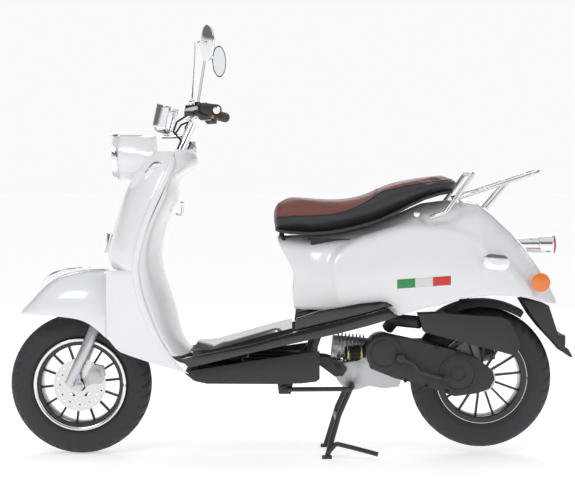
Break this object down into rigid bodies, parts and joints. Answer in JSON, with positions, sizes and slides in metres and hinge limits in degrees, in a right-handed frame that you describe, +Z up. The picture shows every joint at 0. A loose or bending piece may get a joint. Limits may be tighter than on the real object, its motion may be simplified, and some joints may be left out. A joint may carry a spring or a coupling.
{
  "type": "moped scooter",
  "caption": "Retro step-through moped scooter on its centre stand, with telescopic fork, swinging engine unit, hinged seat, stands, levers and mirrors.",
  "frame": {"origin": "on the ground, midway along the length and on the centre line", "axes": "+X to the tail, -Y to the rider's left, +Z up"},
  "size_m": [1.7129, 0.8588, 1.277],
  "materials": {
    "white_gloss": "gloss",
    "black_satin": "satin",
    "black_matt": "matt",
    "chrome": "polished",
    "cast_alloy": "cast",
    "frame_black": "satin",
    "silver_paint": "satin",
    "clear_lens": "clear",
    "red_lens": "clear",
    "amber_lens": "clear",
    "bright_steel": "brushed",
    "seat_vinyl": "grained",
    "grip_rubber": "matt",
    "amber_switch": "gloss",
    "tyre_rubber": "matt",
    "rim_black": "gloss"
  },
  "bodies": {
    "chassis": {"frame": "frame_black", "front_fender": "white_gloss", "leg_shield": "white_gloss", "inner_shield": "white_gloss", "headlight_bezel": "chrome", "headlight_lens": "clear_lens", "indicators": "clear_lens", "front_trims": "chrome", "floorboard": "black_satin", "belly_pan": "black_matt", "tail_trim": "black_satin", "rear_body": "white_gloss", "taillight_housing": "chrome", "taillight_lens": "red_lens", "reflectors": "amber_lens", "mudflap": "black_matt", "luggage_rack": "bright_steel", "fuel_tank": "black_matt", "storage_bucket": "black_matt"},
    "steering": {"steering_stem": "chrome", "handlebar": "chrome", "switch_pods": "black_satin", "left_grip": "grip_rubber", "speedometer": "chrome", "control_cables": "grip_rubber"},
    "fork": {"fork_sliders": "silver_paint", "brake_caliper": "cast_alloy"},
    "front_wheel": {"front_tyre": "tyre_rubber", "front_rim": "rim_black", "front_disc": "bright_steel"},
    "throttle": {"throttle_grip": "grip_rubber"},
    "front_lever": {"front_brake_lever": "cast_alloy"},
    "rear_lever": {"rear_brake_lever": "cast_alloy"},
    "mirror_arm_left": {"mirror_stem_left": "chrome"},
    "mirror_arm_right": {"mirror_stem_right": "chrome"},
    "mirror_head_left": {"mirror_left": "chrome"},
    "mirror_head_right": {"mirror_right": "chrome"},
    "turn_slider": {"turn_switch": "amber_switch"},
    "starter": {"starter_button": "amber_switch"},
    "seat": {"seat_base": "black_matt", "seat_cushion": "seat_vinyl"},
    "ignition": {"ignition_key": "bright_steel"},
    "hook": {"bag_hook": "chrome"},
    "lock": {"seat_lock": "chrome"},
    "prop": {"side_stand": "frame_black"},
    "engine": {"crankcase": "cast_alloy", "cvt_cover": "black_matt", "airbox": "black_matt", "exhaust": "frame_black", "hugger": "black_matt", "drive_belt": "grip_rubber"},
    "rear_wheel": {"rear_tyre": "tyre_rubber", "rear_rim": "rim_black"},
    "kick": {"kick_lever": "frame_black"},
    "main_stand": {"centre_stand": "frame_black"},
    "drive_pulley": {"variator": "bright_steel"},
    "driven_pulley": {"clutch_pulley": "bright_steel"},
    "damper": {"shock_body": "frame_black", "shock_spring": "frame_black"},
    "damper_rod": {"shock_rod": "bright_steel"}
  },
  "joints": [
    {"name": "steering_turn", "type": "hinge", "parent": "chassis", "child": "steering", "pos_m": [-0.3305, 0, 0.937], "axis": [0.4067, 0, 0.9135], "range_deg": [-35, 35]},
    {"name": "fork_travel", "type": "slide", "parent": "steering", "child": "fork", "axis": [0.4067, 0, 0.9135], "range_m": [0, 0.05], "stiffness_N_per_m": 7500, "springref_m": -0.04},
    {"name": "front_wheel_spin", "type": "hinge", "parent": "fork", "child": "front_wheel", "pos_m": [-0.6405, 0, 0.216], "axis": [0, 1, 0], "continuous": true},
    {"name": "throttle_twist", "type": "hinge", "parent": "steering", "child": "throttle", "pos_m": [-0.252, 0.215, 1.049], "axis": [0.3421, 0.9368, -0.0733], "range_deg": [0, 75], "stiffness_Nm_per_rad": 0.4, "springref_deg": -5.73},
    {"name": "rear_brake_pull", "type": "hinge", "parent": "steering", "child": "rear_lever", "pos_m": [-0.3, -0.186, 1.045], "axis": [0, 0, 1], "range_deg": [0, 12], "stiffness_Nm_per_rad": 4, "springref_deg": -5.73},
    {"name": "front_brake_pull", "type": "hinge", "parent": "steering", "child": "front_lever", "pos_m": [-0.3, 0.186, 1.045], "axis": [0, 0, -1], "range_deg": [0, 12], "stiffness_Nm_per_rad": 4, "springref_deg": -5.73},
    {"name": "mirror_left_swivel", "type": "hinge", "parent": "steering", "child": "mirror_arm_left", "pos_m": [-0.29, -0.168, 1.07], "axis": [0, 0, 1], "range_deg": [-25, 25]},
    {"name": "mirror_right_swivel", "type": "hinge", "parent": "steering", "child": "mirror_arm_right", "pos_m": [-0.29, 0.168, 1.07], "axis": [0, 0, 1], "range_deg": [-25, 25]},
    {"name": "mirror_left_tilt", "type": "hinge", "parent": "mirror_arm_left", "child": "mirror_head_left", "pos_m": [-0.25409, -0.38938, 1.225], "axis": [-0.3907, 0.9205, 0], "range_deg": [-12, 12]},
    {"name": "mirror_right_tilt", "type": "hinge", "parent": "mirror_arm_right", "child": "mirror_head_right", "pos_m": [-0.25409, 0.38938, 1.225], "axis": [0.3907, 0.9205, 0], "range_deg": [-12, 12]},
    {"name": "turn_switch_slide", "type": "slide", "parent": "steering", "child": "turn_slider", "axis": [0, 1, 0], "range_m": [-0.005, 0.005]},
    {"name": "starter_press", "type": "slide", "parent": "steering", "child": "starter", "axis": [-1, 0, 0], "range_m": [0, 0.0025], "stiffness_N_per_m": 400, "springref_m": -0.0005},
    {"name": "seat_open", "type": "hinge", "parent": "chassis", "child": "seat", "pos_m": [-0.026, 0, 0.671], "axis": [0, -1, 0], "range_deg": [0, 65]},
    {"name": "ignition_turn", "type": "hinge", "parent": "chassis", "child": "ignition", "pos_m": [-0.3, 0.058, 0.94], "axis": [0, 0, 1], "range_deg": [0, 90]},
    {"name": "bag_hook_fold", "type": "hinge", "parent": "chassis", "child": "hook", "pos_m": [-0.331, 0, 0.768], "axis": [0, -1, 0], "range_deg": [0, 80]},
    {"name": "seat_lock_turn", "type": "hinge", "parent": "chassis", "child": "lock", "pos_m": [0.377, -0.12, 0.739], "axis": [0, -1, 0], "range_deg": [0, 60]},
    {"name": "side_stand_fold", "type": "hinge", "parent": "chassis", "child": "prop", "pos_m": [-0.018, -0.118, 0.211], "axis": [0, 1, 0], "range_deg": [0, 100]},
    {"name": "engine_swing", "type": "hinge", "parent": "chassis", "child": "engine", "pos_m": [0.149, 0, 0.263], "axis": [0, -1, 0], "range_deg": [0, 7], "stiffness_Nm_per_rad": 900, "springref_deg": -6.88},
    {"name": "rear_wheel_spin", "type": "hinge", "parent": "engine", "child": "rear_wheel", "pos_m": [0.584, 0, 0.2356], "axis": [0, 1, 0], "continuous": true},
    {"name": "kick_swing", "type": "hinge", "parent": "engine", "child": "kick", "pos_m": [0.329, -0.15, 0.309], "axis": [0, 1, 0], "range_deg": [0, 50], "stiffness_Nm_per_rad": 2, "springref_deg": -20.05},
    {"name": "centre_stand_fold", "type": "hinge", "parent": "engine", "child": "main_stand", "pos_m": [0.186, 0, 0.215], "axis": [0, -1, 0], "range_deg": [0, 66]},
    {"name": "variator_spin", "type": "hinge", "parent": "engine", "child": "drive_pulley", "pos_m": [0.281, -0.092, 0.32], "axis": [0, 1, 0], "continuous": true},
    {"name": "clutch_spin", "type": "hinge", "parent": "engine", "child": "driven_pulley", "pos_m": [0.503, -0.092, 0.261], "axis": [0, 1, 0], "continuous": true},
    {"name": "shock_tilt", "type": "hinge", "parent": "chassis", "child": "damper", "pos_m": [0.505, 0.085, 0.622], "axis": [0, 1, 0], "range_deg": [-1, 2]},
    {"name": "shock_slide", "type": "slide", "parent": "damper", "child": "damper_rod", "axis": [-0.21, 0, 0.9777], "range_m": [0, 0.054], "deforming": ["shock_spring"]}
  ],
  "couplings": [
    {"joint": "clutch_spin", "follows": "variator_spin", "ratio": 0.8947},
    {"joint": "shock_slide", "follows": "engine_swing", "m_per_rad": 0.424},
    {"joint": "shock_tilt", "follows": "engine_swing", "ratio": 0.0457}
  ]
}
